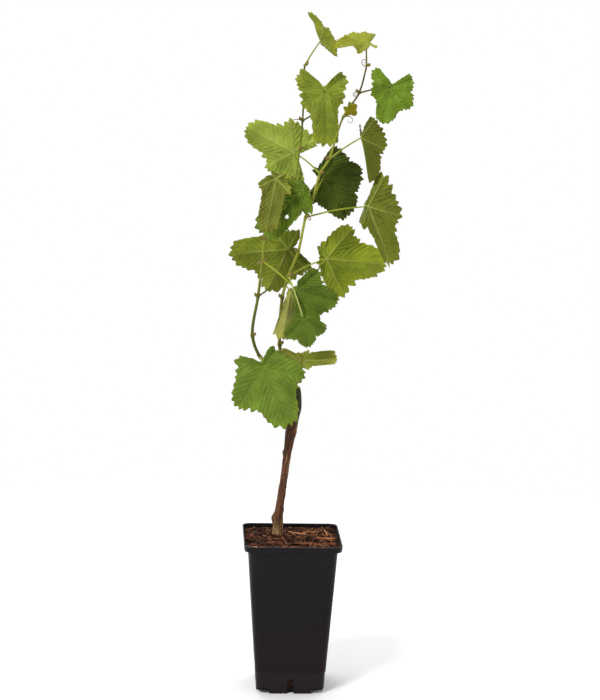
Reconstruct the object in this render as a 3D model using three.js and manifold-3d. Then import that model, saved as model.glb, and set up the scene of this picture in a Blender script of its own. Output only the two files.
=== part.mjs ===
// A young grapevine in a tall square nursery pot.
//
// Millimetres, +Z up, +X to the right, -Y to the front of the pot.
// The origin is the centre of the pot's flat underside.
//
// An old brown cane stands in the potting soil and carries two green shoots.
// Each shoot bends a little at its nodes, and a stalk with one lobed leaf grows
// from a node. A leaf is a thin blade round the end of its stalk: five main
// veins spread from there, and the edge runs from lobe to lobe.
import * as THREE from 'three';
import { mergeVertices } from 'three/addons/utils/BufferGeometryUtils.js';
import Module from 'manifold-3d';

const wasm = await Module();
wasm.setup();

// ---------------------------------------------------------------- dimensions

const CLEARANCE = 0.3; // between pieces that touch

const POT = {
  height: 190,
  rim: 120, // across the outside of the lip
  top: 109, // across the wall under the lip
  base: 83, // across the foot of the wall
  corner: 9, // radius of the upright corners at the rim
  wall: 1.6,
  floor: 2.4,
  lip: 8, // height of the lip
  lipSlant: 3, // how much narrower the lip is at its lower edge
  foot: 50, // width of the two crossing feet
  footHeight: 6.5, // corners of the base are raised by this
  slotWidth: 8, // drain slot at the bottom of each side
  slotTop: 18,
  slotDepth: 12,
};

const SOIL = {
  drop: 5, // its surface under the rim
  room: 0.2, // more than the clearance, for the slant of the wall
};

const CUT_OVERSHOOT = 1; // of a cutting solid past the face that it opens

const CANE = {
  foot: [-17, 22],
  bends: [[-15, 22, 219], [-11, 21, 250], [-6, 20, 292], [0, 18, 335], [3, 18, 360]],
  top: [2, 18, 374],
  radii: [7.2, 5.6, 4.2, 4.6, 5.1, 6.8, 7.2, 5.2],
};

const SHOOT_RADIUS = { base: 2.1, tip: 1.0 };

const STALK_RADIUS = { base: 1.1, tip: 0.8 };

const STALK_BOW = 0.03; // rise of its middle, as a share of its length

const BLADE = {
  thickness: 0.9,
  droop: 3, // least curl of the tip
  rounding: 4, // radius of the crease along the midrib
};

const LOBES = {
  turns: [-125, -55, 0, 55, 125], // of the five lobes off the midrib
  shoulder: 14, // from the tip of a lobe to its shoulder
  fall: 0.92, // reach of a shoulder, as a share of the lobe's
  dip: 0.8, // reach between two lobes, as a share of their mean
  notch: 0.1, // reach beside the stalk
  notchTurn: 170,
};

// Nodes of the two shoots, from the cane to the tip.
const SHOOTS = {
  left: [
    [-1, 20, 371], [-20, 23, 388], [-42, 24, 408], [-52, 26, 434], [-46, 29, 482], [-41, 29, 526],
    [-38, 30, 553], [-20, 30, 590], [-4, 30, 625], [1, 30, 662], [4, 30, 697], [5, 29, 763],
  ],
  right: [
    [3, 16, 376], [-15, 13, 402], [-19, 12, 426], [-17, 9, 484], [-10, 7, 511], [1, 5, 541],
    [9, 3, 583], [17, 2, 605], [25, 1, 636], [35, 0, 653], [51, -1, 704], [69, -4, 733], [77, -6, 764],
  ],
};

// Each leaf: the shoot and node that it grows from, the end of its stalk (joint),
// the end of its midrib (tip), the turn about the midrib (0: upper side to the
// front), the fold of its right and left half towards the upper side, the droop of
// the tip, the bow of its stalk, and how far its five lobes reach against the
// midrib, from the left of the stalk round to the right of it. Right is seen from
// the upper side with the tip up.
const LEAVES = {
  leaf_crest: {
    from: ['left', 11], joint: [23, 20, 793], tip: [8, 16, 826], turn: 95, fold: [30, 30],
    lobes: [0.85, 0.75, 1, 0.5, 0.4],
  },
  leaf_crown: {
    from: ['right', 12], joint: [76, -4, 793], tip: [37, -10, 788], turn: 63, fold: [0, -5],
    lobes: [0.4, 0.6, 1, 0.7, 0.55],
  },
  leaf_upper_right: {
    from: ['right', 11], joint: [105, -20, 741], tip: [96, -36, 700], turn: 0, fold: [0, 0],
    lobes: [0.65, 0.75, 1, 0.55, 0.65],
  },
  leaf_upper_middle: {
    from: ['left', 10], joint: [29, 12, 734], tip: [32, 8, 670], turn: 0, fold: [-10, -10], droop: 20,
    bow: -0.18,
    lobes: [0.5, 0.4, 1, 0.5, 0.6],
  },
  leaf_upper_left: {
    from: ['right', 8], joint: [-5, 44, 658], tip: [-62, 62, 685], turn: 180, fold: [5, 5], droop: 8,
    lobes: [0.5, 0.6, 1, 0.6, 0.6],
  },
  leaf_left_folded: {
    from: ['left', 8], joint: [-28, -12, 630], tip: [-39, -26, 568], turn: 180, fold: [-30, -30],
    lobes: [0.15, 0.4, 1, 0.4, 0.2],
  },
  leaf_centre: {
    from: ['right', 7], joint: [4, -8, 617], tip: [-43, 8, 561], turn: 0, fold: [-6, -6], droop: 10,
    lobes: [0.12, 0.4, 1, 0.65, 0.15],
  },
  leaf_centre_right: {
    from: ['right', 7], joint: [29, 14, 629], tip: [79, 34, 633], turn: 0, fold: [-5, -5], droop: 5,
    lobes: [0.3, 0.8, 1, 1.1, 0.6],
  },
  leaf_right_folded: {
    from: ['right', 9], joint: [74, 4, 680], tip: [86, 2, 627], turn: 220, fold: [60, 60],
    lobes: [0.4, 0.5, 1, 0.65, 0.55],
  },
  leaf_right_hanging: {
    from: ['right', 6], joint: [84, -2, 598], tip: [112, -6, 529], turn: 200, fold: [45, 45],
    lobes: [0.1, 0.5, 1, 0.6, 0.6],
  },
  leaf_lower_right: {
    from: ['right', 4], joint: [36, 22, 531], tip: [109, 42, 523], turn: 180, fold: [5, 5], droop: 5,
    lobes: [0.2, 0.7, 1, 0.65, 0.25],
  },
  leaf_lower_left: {
    from: ['left', 4], joint: [-9, 48, 539], tip: [-79, 66, 529], turn: 180, fold: [5, 5], droop: 8,
    bow: -0.2,
    lobes: [0.35, 0.45, 1, 0.8, 0.5],
  },
  leaf_lower_middle: {
    from: ['left', 5], joint: [0, -6, 495], tip: [48, -22, 485], turn: 0, fold: [-5, -5], droop: 5,
    lobes: [0.12, 0.7, 1, 0.95, 0.12],
  },
  leaf_lower_front: {
    from: ['right', 4], joint: [7, -34, 464], tip: [13, -40, 432], turn: 0, fold: [-10, -10], droop: 5,
    lobes: [0.25, 0.9, 1, 0.9, 0.4],
  },
  leaf_lower_folded: {
    from: ['right', 3], joint: [-8, -4, 492], tip: [-17, -12, 437], turn: 180, fold: [25, 25],
    bow: 0.6,
    lobes: [0.08, 0.1, 1, 0.6, 0.1],
  },
  leaf_bottom: {
    from: ['left', 2], joint: [-39, -18, 403], tip: [-9, -40, 336], turn: 0, fold: [-5, -5], droop: 8,
    lobes: [0.35, 0.65, 1, 0.75, 0.45],
  },
  leaf_bottom_small: {
    from: ['right', 1], joint: [8, 0, 408], tip: [50, -4, 413], turn: 180, fold: [25, 25],
    lobes: [0.2, 0.35, 1, 0.35, 0.2],
  },
  leaf_young: {
    from: ['right', 10], joint: [57, -5, 716], tip: [66, -7, 707], turn: 0, fold: [5, 5],
    lobes: [0.5, 0.8, 1, 0.8, 0.5],
  },
};

const COLOURS = {
  pot: { color: 0x252427, roughness: 0.45, metalness: 0 },
  soil: { color: 0x3a2318, roughness: 1, metalness: 0 },
  cane: { color: 0x6a5140, roughness: 0.9, metalness: 0 },
  shoot: { color: 0x7d8a2c, roughness: 0.6, metalness: 0 },
  leaf: { color: 0x5c8a2c, roughness: 0.55, metalness: 0 },
};

// ------------------------------------------------------------------- helpers

const radians = THREE.MathUtils.degToRad;
const lerp = THREE.MathUtils.lerp;
const vector = (coordinates) => new THREE.Vector3(...coordinates);

function bare(geometry) {
  const copy = geometry.index ? geometry.clone() : mergeVertices(geometry);
  copy.deleteAttribute('normal');
  copy.deleteAttribute('uv');
  return mergeVertices(copy, 1e-4);
}

function toSolid(geometry) {
  const merged = bare(geometry);
  return new wasm.Manifold(new wasm.Mesh({
    numProp: 3,
    vertProperties: Float32Array.from(merged.attributes.position.array),
    triVerts: Uint32Array.from(merged.index.array),
  }));
}

// The piece that is left of a solid when cuts leave slivers beside it.
function largest(solid) {
  return solid.decompose().reduce((kept, piece) => (piece.volume() > kept.volume() ? piece : kept));
}

function toGeometry(solid) {
  const mesh = solid.getMesh();
  const geometry = new THREE.BufferGeometry();
  geometry.setAttribute('position', new THREE.BufferAttribute(mesh.vertProperties, mesh.numProp));
  geometry.setIndex(new THREE.BufferAttribute(mesh.triVerts, 1));
  return geometry;
}

// Moves every corner of a geometry to where place(corner) puts it.
function reshape(geometry, place) {
  const position = geometry.attributes.position;
  const corner = new THREE.Vector3();
  for (let i = 0; i < position.count; i += 1) {
    corner.fromBufferAttribute(position, i);
    position.setXYZ(i, ...place(corner).toArray());
  }
  return geometry;
}

function named(name, geometry, finish) {
  geometry.computeVertexNormals();
  const mesh = new THREE.Mesh(geometry, new THREE.MeshStandardMaterial(COLOURS[finish]));
  mesh.name = name;
  return mesh;
}

// ----------------------------------------------------------------------- pot

function roundedSquare(size, radius) {
  const half = size / 2;
  const inner = half - radius;
  const shape = new THREE.Shape();
  shape.absarc(inner, -inner, radius, -Math.PI / 2, 0);
  shape.absarc(inner, inner, radius, 0, Math.PI / 2);
  shape.absarc(-inner, inner, radius, Math.PI / 2, Math.PI);
  shape.absarc(-inner, -inner, radius, Math.PI, 1.5 * Math.PI);
  return shape;
}

// A block with upright rounded corners that tapers from one size to another.
function taperedBlock(bottomSize, topSize, bottom, top, radius) {
  const height = top - bottom;
  const block = new THREE.ExtrudeGeometry(roundedSquare(topSize, radius), {
    depth: height,
    bevelEnabled: false,
    curveSegments: 4,
  });
  return toSolid(reshape(bare(block), (corner) => {
    const scale = lerp(bottomSize / topSize, 1, corner.z / height);
    return new THREE.Vector3(corner.x * scale, corner.y * scale, corner.z + bottom);
  }));
}

function box(width, depth, height, x, y, bottom) {
  const geometry = new THREE.BoxGeometry(width, depth, height);
  return toSolid(geometry.translate(x, y, bottom + height / 2));
}

// Height of the step inside the pot, where the wall turns out into the lip.
const LEDGE = POT.height - POT.lip + POT.wall;

// Width of the outer wall at a height, on its straight line from foot to lip.
const wallWidth = (height) => lerp(POT.base, POT.top, height / (POT.height - POT.lip));

function drainSlot(turn) {
  const radius = POT.slotWidth / 2;
  const outline = new THREE.Shape();
  outline.moveTo(-radius, -CUT_OVERSHOOT);
  outline.lineTo(radius, -CUT_OVERSHOOT);
  outline.absarc(0, POT.slotTop - radius, radius, 0, Math.PI);
  const slot = new THREE.ExtrudeGeometry(outline, {
    depth: POT.slotDepth,
    bevelEnabled: false,
    curveSegments: 5,
  });
  slot.rotateX(Math.PI / 2).translate(0, (POT.slotDepth - POT.base) / 2, 0).rotateZ(turn);
  return toSolid(slot);
}

function makePot() {
  const lipBottom = POT.height - POT.lip;
  const above = POT.height + CUT_OVERSHOOT;
  const innerTop = wallWidth(above) - 2 * POT.wall;
  const innerBottom = wallWidth(POT.footHeight + POT.floor) - 2 * POT.wall;
  const radius = POT.corner - POT.wall;
  let pot = taperedBlock(POT.base, POT.top, 0, lipBottom, POT.corner);
  pot = pot.add(taperedBlock(POT.rim - POT.lipSlant, POT.rim, lipBottom, POT.height, POT.corner));
  pot = pot.subtract(taperedBlock(innerBottom, innerTop, POT.footHeight + POT.floor, above, radius));
  const lipRoom = POT.rim - 2 * POT.wall;
  pot = pot.subtract(taperedBlock(lipRoom - POT.lipSlant, lipRoom, LEDGE, above, radius));
  const raised = (POT.rim - POT.foot) / 2;
  const offset = POT.foot / 2 + raised / 2;
  const cut = POT.footHeight + CUT_OVERSHOOT;
  for (const [x, y] of [[1, 1], [1, -1], [-1, 1], [-1, -1]]) {
    pot = pot.subtract(box(raised, raised, cut, x * offset, y * offset, -CUT_OVERSHOOT));
  }
  for (let side = 0; side < 4; side += 1) {
    pot = pot.subtract(drainSlot(side * Math.PI / 2));
  }
  return toGeometry(pot);
}

// Soil fills the pot and spreads over the step inside the lip.
function makeSoil() {
  const bottom = POT.footHeight + POT.floor + CLEARANCE;
  const top = POT.height - SOIL.drop;
  const room = 2 * (POT.wall + CLEARANCE) + SOIL.room;
  const radius = POT.corner - POT.wall;
  const bed = taperedBlock(wallWidth(bottom) - room, wallWidth(top) - room, bottom, top, radius);
  const spread = POT.rim - POT.lipSlant - room;
  return toGeometry(bed.add(taperedBlock(spread, spread, LEDGE + CLEARANCE, top, radius)));
}

// --------------------------------------------------------------------- limbs

// A round limb along a smooth curve through its points. radiusAt gives its radius
// from 0 at the first point to 1 at the last, and both ends are cut square.
function limb(points, radiusAt, sides, steps, flatFoot = false) {
  const curve = new THREE.CatmullRomCurve3(points, false, 'centripetal');
  const frames = curve.computeFrenetFrames(steps, false);
  const rod = bare(new THREE.CylinderGeometry(1, 1, 1, sides, steps));
  return toSolid(reshape(rod, (corner) => {
    const step = Math.round((corner.y + 0.5) * steps);
    const along = step / steps;
    const centre = curve.getPointAt(along);
    const radius = radiusAt(along);
    const level = flatFoot && step === 0;
    const across = level ? new THREE.Vector3(1, 0, 0) : frames.normals[step];
    const upright = level ? new THREE.Vector3(0, 1, 0) : frames.binormals[step];
    return centre
      .addScaledVector(across, corner.z * radius)
      .addScaledVector(upright, corner.x * radius);
  }));
}

// Reads a value off a list of evenly spaced ones.
function readOff(values, share) {
  const place = share * (values.length - 1);
  const index = Math.min(Math.floor(place), values.length - 2);
  return lerp(values[index], values[index + 1], place - index);
}

function caneSolid(extra = 0) {
  const ground = POT.height - SOIL.drop + CLEARANCE;
  const points = [vector([...CANE.foot, ground]), ...CANE.bends.map(vector), vector(CANE.top)];
  return limb(points, (share) => readOff(CANE.radii, share) + extra, 10, 22, true);
}

function shootSolid(name, extra = 0) {
  const points = SHOOTS[name].map(vector);
  const taper = (share) => lerp(SHOOT_RADIUS.base, SHOOT_RADIUS.tip, share) + extra;
  return limb(points, taper, 6, 2 * points.length);
}

// -------------------------------------------------------------------- leaves

// The corners of an edge, each an angle off the midrib (positive: right) and a
// reach: the notch, then each lobe with its shoulders and the dip before the next.
function lobedEdge(reaches) {
  const corners = [[-LOBES.notchTurn, LOBES.notch]];
  reaches.forEach((reach, index) => {
    const turn = LOBES.turns[index];
    if (index > 0) {
      const middle = (LOBES.turns[index - 1] + turn) / 2;
      corners.push([middle, LOBES.dip * Math.sqrt(reaches[index - 1] * reach)]);
    }
    corners.push([turn - LOBES.shoulder, LOBES.fall * reach]);
    corners.push([turn, reach]);
    corners.push([turn + LOBES.shoulder, LOBES.fall * reach]);
  });
  corners.push([LOBES.notchTurn, LOBES.notch]);
  return corners;
}

// Bends a flat blade: right and left halves fold up about the midrib, then the
// whole blade curls down from joint to tip. Lengths are shares of the midrib.
function bendBlade(leaf, size, flat) {
  const fold = radians(leaf.fold[flat.x < 0 ? 1 : 0]);
  const crease = BLADE.rounding / size;
  const lift = Math.hypot(flat.x, crease) - crease;
  const across = flat.x * Math.cos(fold);
  const height = flat.z + lift * Math.sin(fold);
  const droop = radians(leaf.droop ?? BLADE.droop);
  const bow = 1 / droop;
  const angle = flat.y * droop;
  const along = (bow + height) * Math.sin(angle);
  const up = (bow + height) * Math.cos(angle) - bow;
  const bent = new THREE.Vector3(across, along, up);
  return bent.applyAxisAngle(new THREE.Vector3(1, 0, 0), droop / 2);
}

// Turns blade axes (right, along the midrib, out of the upper side) into the room's.
function bladeFrame(leaf) {
  const joint = vector(leaf.joint);
  const along = vector(leaf.tip).sub(joint);
  const chord = along.length();
  along.normalize();
  const outward = new THREE.Vector3(0, -1, 0);
  outward.addScaledVector(along, -outward.dot(along)).normalize();
  outward.applyAxisAngle(along, radians(leaf.turn));
  const right = new THREE.Vector3().crossVectors(along, outward);
  const frame = new THREE.Matrix4().makeBasis(right, along, outward);
  frame.setPosition(joint);
  const droop = radians(leaf.droop ?? BLADE.droop);
  const size = chord / (2 * Math.sin(droop / 2) / droop);
  return { frame, size };
}

function bladeSolid(leaf, extra = 0) {
  const half = BLADE.thickness / 2 + extra;
  const profile = [[0, -half], [0.5, -half], [1, -half], [1, half], [0.5, half], [0, half]];
  const edge = lobedEdge(leaf.lobes);
  const columns = edge.length;
  const disc = new THREE.LatheGeometry(profile.map(([reach, z]) => new THREE.Vector2(reach, z)), columns);
  const { frame, size } = bladeFrame(leaf);
  return toSolid(reshape(bare(disc), (corner) => {
    const share = Math.hypot(corner.x, corner.z);
    const turned = (Math.PI - Math.atan2(corner.x, corner.z)) / (2 * Math.PI);
    const [turn, far] = edge[Math.round(turned * columns) % columns];
    const angle = radians(turn);
    const reach = share * (far + extra / size);
    const flat = new THREE.Vector3(Math.sin(angle) * reach, Math.cos(angle) * reach, corner.y / size);
    return bendBlade(leaf, size, flat).multiplyScalar(size).applyMatrix4(frame);
  }));
}

// A stalk runs from its node to the joint in one gentle bow.
function stalkSolid(leaf) {
  const [shoot, node] = leaf.from;
  const start = vector(SHOOTS[shoot][node]);
  const end = vector(leaf.joint);
  const middle = start.clone().lerp(end, 0.5);
  middle.z += (leaf.bow ?? STALK_BOW) * start.distanceTo(end);
  const taper = (share) => lerp(STALK_RADIUS.base, STALK_RADIUS.tip, share);
  return limb([start, middle, end], taper, 5, 5);
}

// ------------------------------------------------------------------ the plant

const vine = new THREE.Group();

vine.add(named('pot', makePot(), 'pot'));
vine.add(named('soil', makeSoil(), 'soil'));
vine.add(named('cane', toGeometry(caneSolid()), 'cane'));

for (const side of Object.keys(SHOOTS)) {
  const shoot = shootSolid(side).subtract(caneSolid(CLEARANCE));
  vine.add(named(`shoot_${side}`, toGeometry(shoot), 'shoot'));
}

for (const [name, leaf] of Object.entries(LEAVES)) {
  const shoot = shootSolid(leaf.from[0], CLEARANCE);
  const stalk = stalkSolid(leaf).subtract(shoot).subtract(bladeSolid(leaf, CLEARANCE));
  vine.add(named(name, toGeometry(bladeSolid(leaf)), 'leaf'));
  vine.add(named(name.replace('leaf', 'stalk'), toGeometry(largest(stalk)), 'shoot'));
}

export default vine;
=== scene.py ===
import math
import random

import bmesh
import bpy
from mathutils import Matrix, Vector, noise


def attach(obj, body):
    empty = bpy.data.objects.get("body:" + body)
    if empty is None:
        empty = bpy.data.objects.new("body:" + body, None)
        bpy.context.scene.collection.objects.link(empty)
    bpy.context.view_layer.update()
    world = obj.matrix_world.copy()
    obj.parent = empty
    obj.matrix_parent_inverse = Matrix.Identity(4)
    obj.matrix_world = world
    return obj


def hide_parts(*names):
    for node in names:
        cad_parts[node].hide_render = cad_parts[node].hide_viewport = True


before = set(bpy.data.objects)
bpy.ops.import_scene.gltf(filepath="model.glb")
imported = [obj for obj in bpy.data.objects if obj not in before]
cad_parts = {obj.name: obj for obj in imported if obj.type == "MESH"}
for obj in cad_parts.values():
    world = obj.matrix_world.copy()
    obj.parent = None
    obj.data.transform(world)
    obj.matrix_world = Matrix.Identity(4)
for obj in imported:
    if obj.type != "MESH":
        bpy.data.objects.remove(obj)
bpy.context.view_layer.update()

# A young grapevine in a tall square nursery pot. Metres, +Z up, -Y to the front.
# The plant's and the pot's tables are in millimetres, as the part's own are, and MM
# turns them into metres. Lights and camera are in metres.
MM = 0.001
FULL_TURN = 2 * math.pi

# ------------------------------------------------------------------ the sizes

POT = {
    "height": 190, "rim": 120, "top": 109, "base": 83, "corner": 9, "wall": 1.6,
    "floor": 2.4, "lip": 8, "foot": 50, "foot_height": 6.5, "slot_width": 8, "slot_top": 18,
    "band": 27.5, "gap": 0.25,
}
SOIL_TOP = 185
SOIL_HALF = 57.9
SOIL_CELLS = 140

CANE = {
    "points": [
        (-17, 22, 185.3), (-15, 22, 219), (-11, 21, 250), (-6, 20, 292), (0, 18, 335),
        (3, 18, 360), (2, 18, 374),
    ],
    "radii": [7.2, 5.6, 4.2, 4.6, 5.1, 6.8, 7.2, 5.2],
    "bare_foot": (192, 212), "fading": (215, 300), "green_head": (325, 345),  # from height, to height
}
PEEL = {  # strips of bark, with their starts and lengths in steps of the cane's middle line
    "strips": 30, "steps": 200, "start": (14, 140), "length": (12, 34), "lift": (0.3, 1.6),
    "width": (0.5, 1.3), "off": 0.15, "thickness": 0.25,
    "tones": [(116, 74, 48), (92, 62, 46), (140, 102, 70)],
}

SHOOTS = {
    "left": [
        (-1, 20, 371), (-20, 23, 388), (-42, 24, 408), (-52, 26, 434), (-46, 29, 482), (-41, 29, 526),
        (-38, 30, 553), (-20, 30, 590), (-4, 30, 625), (1, 30, 662), (4, 30, 697), (5, 29, 763),
    ],
    "right": [
        (3, 16, 376), (-15, 13, 402), (-19, 12, 426), (-17, 9, 484), (-10, 7, 511), (1, 5, 541),
        (9, 3, 583), (17, 2, 605), (25, 1, 636), (35, 0, 653), (51, -1, 704), (69, -4, 733),
        (77, -6, 764),
    ],
}
SHOOT_RADIUS = (2.1, 1.0)
STALK_RADIUS = (1.1, 0.8)
STALK_BOW = 0.03
LIMB_MESH = {  # sides and rings
    "cane": (72, 260), "shoot": (20, 420), "stalk": (14, 40), "tendril": (8, 48),
}

# Each leaf as in the part: its node, the end of its stalk, the end of its midrib,
# the turn, the fold of its right and left half, the droop, how far its five lobes
# reach against the midrib, and the plain colours of its upper side and its
# underside, each as red, green and blue of 255. Some rows also have the stalk's bow
# and colour, a hole as angle and reach, a puckered skin, and their own depth of
# pleats and quilting. The curl is only in the looks, and has no stalk of its own.
LEAVES = {
    "crest": {
        "from": ("left", 11), "joint": (23, 20, 793), "tip": (8, 16, 826), "turn": 95, "fold": (30, 30),
        "lobes": (0.85, 0.75, 1, 0.5, 0.4),
        "upper": (124, 138, 28), "under": (128, 138, 40),
    },
    "crown": {
        "from": ("right", 12), "joint": (76, -4, 793), "tip": (37, -10, 788), "turn": 63, "fold": (0, -5),
        "lobes": (0.4, 0.6, 1, 0.7, 0.55),
        "upper": (142, 148, 34), "under": (164, 170, 58),
    },
    "upper_right": {
        "from": ("right", 11), "joint": (105, -20, 741), "tip": (96, -36, 700), "turn": 0,
        "fold": (0, 0), "stalk": (84, 74, 44),
        "lobes": (0.65, 0.75, 1, 0.55, 0.65),
        "upper": (108, 138, 34), "under": (128, 150, 62),
    },
    "upper_middle": {
        "from": ("left", 10), "joint": (29, 12, 734), "tip": (32, 8, 670), "turn": 0,
        "fold": (-10, -10), "droop": 20, "bow": -0.18, "stalk": (78, 84, 38),
        "lobes": (0.5, 0.4, 1, 0.5, 0.6), "quilt": 0.008,
        "upper": (126, 140, 42), "under": (112, 126, 54),
    },
    "upper_left": {
        "from": ("right", 8), "joint": (-5, 44, 658), "tip": (-62, 62, 685), "turn": 180,
        "fold": (5, 5), "droop": 8,
        "lobes": (0.5, 0.6, 1, 0.6, 0.6),
        "upper": (106, 130, 34), "under": (138, 156, 58),
    },
    "left_folded": {
        "from": ("left", 8), "joint": (-28, -12, 630), "tip": (-39, -26, 568), "turn": 180,
        "fold": (-30, -30),
        "lobes": (0.15, 0.4, 1, 0.4, 0.2),
        "upper": (94, 106, 30), "under": (112, 118, 42),
    },
    "centre": {
        "from": ("right", 7), "joint": (4, -8, 617), "tip": (-43, 8, 561), "turn": 0,
        "fold": (-6, -6), "droop": 10, "hole": (-12, 0.5),
        "lobes": (0.12, 0.4, 1, 0.65, 0.15),
        "skin": "puckered", "quilt": 0.022,
        "upper": (100, 128, 24), "under": (100, 120, 50),
    },
    "centre_right": {
        "from": ("right", 7), "joint": (29, 14, 629), "tip": (79, 34, 633), "turn": 0,
        "fold": (-5, -5), "droop": 5,
        "lobes": (0.3, 0.8, 1, 1.1, 0.6),
        "skin": "puckered", "quilt": 0.025,
        "upper": (66, 84, 9), "under": (96, 110, 40),
    },
    "right_folded": {
        "from": ("right", 9), "joint": (74, 4, 680), "tip": (86, 2, 627), "turn": 220, "fold": (60, 60),
        "lobes": (0.4, 0.5, 1, 0.65, 0.55),
        "upper": (76, 88, 22), "under": (90, 98, 26),
    },
    "right_hanging": {
        "from": ("right", 6), "joint": (84, -2, 598), "tip": (112, -6, 529), "turn": 200,
        "fold": (45, 45),
        "lobes": (0.1, 0.5, 1, 0.6, 0.6),
        "upper": (86, 100, 24), "under": (104, 114, 30),
    },
    "lower_right": {
        "from": ("right", 4), "joint": (36, 22, 531), "tip": (109, 42, 523), "turn": 180,
        "fold": (5, 5), "droop": 5,
        "lobes": (0.2, 0.7, 1, 0.65, 0.25),
        "upper": (84, 96, 14), "under": (126, 140, 32),
    },
    "lower_left": {
        "from": ("left", 4), "joint": (-9, 48, 539), "tip": (-79, 66, 529), "turn": 180,
        "fold": (5, 5), "droop": 8, "bow": -0.2, "stalk": (88, 92, 36),
        "lobes": (0.35, 0.45, 1, 0.8, 0.5),
        "upper": (86, 102, 20), "under": (106, 118, 28),
    },
    "lower_middle": {
        "from": ("left", 5), "joint": (0, -6, 495), "tip": (48, -22, 485), "turn": 0,
        "fold": (-5, -5), "droop": 5,
        "lobes": (0.12, 0.7, 1, 0.95, 0.12),
        "skin": "puckered", "pleat": 0.14, "quilt": 0.03,
        "upper": (100, 126, 38), "under": (112, 126, 60),
    },
    "lower_front": {
        "from": ("right", 4), "joint": (7, -34, 464), "tip": (13, -40, 432), "turn": 0,
        "fold": (-10, -10), "droop": 5, "stalk": (170, 174, 100),
        "lobes": (0.25, 0.9, 1, 0.9, 0.4),
        "skin": "puckered", "pleat": 0.12, "quilt": 0.025,
        "upper": (102, 128, 38), "under": (114, 128, 62),
    },
    "lower_folded": {
        "from": ("right", 3), "joint": (-8, -4, 492), "tip": (-17, -12, 437), "turn": 180,
        "fold": (25, 25), "bow": 0.6,
        "lobes": (0.08, 0.1, 1, 0.6, 0.1),
        "upper": (98, 106, 36), "under": (150, 150, 76),
    },
    "bottom": {
        "from": ("left", 2), "joint": (-39, -18, 403), "tip": (-9, -40, 336), "turn": 0,
        "fold": (-5, -5), "droop": 8,
        "lobes": (0.35, 0.65, 1, 0.75, 0.45),
        "upper": (102, 128, 40), "under": (122, 140, 64),
    },
    "bottom_small": {
        "from": ("right", 1), "joint": (8, 0, 408), "tip": (50, -4, 413), "turn": 180, "fold": (25, 25),
        "lobes": (0.2, 0.35, 1, 0.35, 0.2),
        "upper": (120, 132, 38), "under": (152, 160, 58),
    },
    "curl": {
        "joint": (5, -2, 408), "tip": (-19, -9, 421), "turn": 180, "fold": (25, 25),
        "lobes": (0.3, 0.4, 1, 0.4, 0.3),
        "upper": (112, 122, 34), "under": (132, 136, 50),
    },
    "young": {
        "from": ("right", 10), "joint": (57, -5, 716), "tip": (66, -7, 707), "turn": 0, "fold": (5, 5),
        "lobes": (0.5, 0.8, 1, 0.8, 0.5),
        "upper": (148, 142, 24), "under": (140, 130, 50),
    },
}

# On the flat blade, lengths are shares of the midrib and angles are in degrees. Only
# the blade's thickness and crease, and the size of a small leaf, are in millimetres.
LOBES = {
    "turns": (-125, -55, 0, 55, 125), "shoulder": 14, "fall": 0.92, "dip": 0.8,
    "notch": 0.1, "notch_turn": 170,
}
BLADE = {
    "thickness": 0.35, "rings": 30, "step": 0.018, "bulge": 0.04, "droop": 3, "crease": 4,
    "pleat": 0.06, "quilt": 0.018, "wave": 0.03, "curl": 0.05, "hole": 0.028,
}
SMALL_LEAF = {"below": 45, "coarser": 1.7}
TOOTH = {"shortest": 0.07, "longest": 0.16, "height": 0.1, "peak": 0.66}
RIB = {"period": 0.1, "lean": 0.95, "curve": 0.8}
FIBRE_RING = {"place": (-46, -42), "radius": 2.3, "fibre": 0.55, "lift": 0.9}
LIGHTS = {  # place, size and power of each softbox, all turned to the plant's middle
    "key softbox": ((-1.4, -1.9, 2.4), 1.0, 72),
    "fill softbox": ((2.0, -1.6, 1.2), 1.8, 10),
    "top softbox": ((0.2, 0.4, 2.6), 1.6, 20),
    "back softbox": ((-0.8, 2.2, 1.3), 1.8, 14),
}
PLANT_MIDDLE = (0.0, 0.0, 0.45)


# ---------------------------------------------------------------- small tools

def metres(point):
    return Vector(point) * MM


def mix(first, second, share):
    return first + (second - first) * share


def ease(low, high, value):
    share = min(max((value - low) / (high - low), 0), 1)
    return share * share * (3 - 2 * share)


def paint(red, green, blue):
    """A colour as it looks, of 255, as the light that it gives back."""
    def light(value):
        value /= 255
        return value / 12.92 if value <= 0.04045 else ((value + 0.055) / 1.055) ** 2.4
    return Vector((light(red), light(green), light(blue)))


def grain(place, scale, seed=0):
    """Soft noise from -1 to 1, with its lumps about one over scale metres across."""
    return noise.noise(Vector(place) * scale + Vector((seed * 7.3, seed * 3.1, seed * 5.7)))


def read_off(values, share):
    spot = min(max(share, 0), 1) * (len(values) - 1)
    index = min(int(spot), len(values) - 2)
    return mix(values[index], values[index + 1], spot - index)


def finish_mesh(mesh_work, name, materials, smooth=True):
    """Closes the work on a mesh and puts it in the scene as a piece."""
    mesh = bpy.data.meshes.new(name)
    mesh_work.to_mesh(mesh)
    mesh_work.free()
    for material in materials:
        mesh.materials.append(material)
    for face in mesh.polygons:
        face.use_smooth = smooth
    piece = bpy.data.objects.new(name, mesh)
    bpy.context.scene.collection.objects.link(piece)
    return piece


def belongs(piece, slot, *nodes):
    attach(piece, "root")
    if nodes:
        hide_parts(*nodes)
    return piece


# ------------------------------------------------------------ shader shorthand

def new_material(name):
    material = bpy.data.materials.new(name)
    material.use_nodes = True
    tree = material.node_tree
    return material, tree, tree.nodes["Principled BSDF"]


def add(tree, kind, inputs=None, **settings):
    made = tree.nodes.new(kind)
    for key, value in settings.items():
        setattr(made, key, value)
    for socket, value in (inputs or {}).items():
        if isinstance(value, bpy.types.NodeSocket):
            tree.links.new(value, made.inputs[socket])
        else:
            made.inputs[socket].default_value = value
    return made


def maths(tree, operation, *values):
    return add(tree, "ShaderNodeMath", dict(enumerate(values)), operation=operation).outputs[0]


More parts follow.
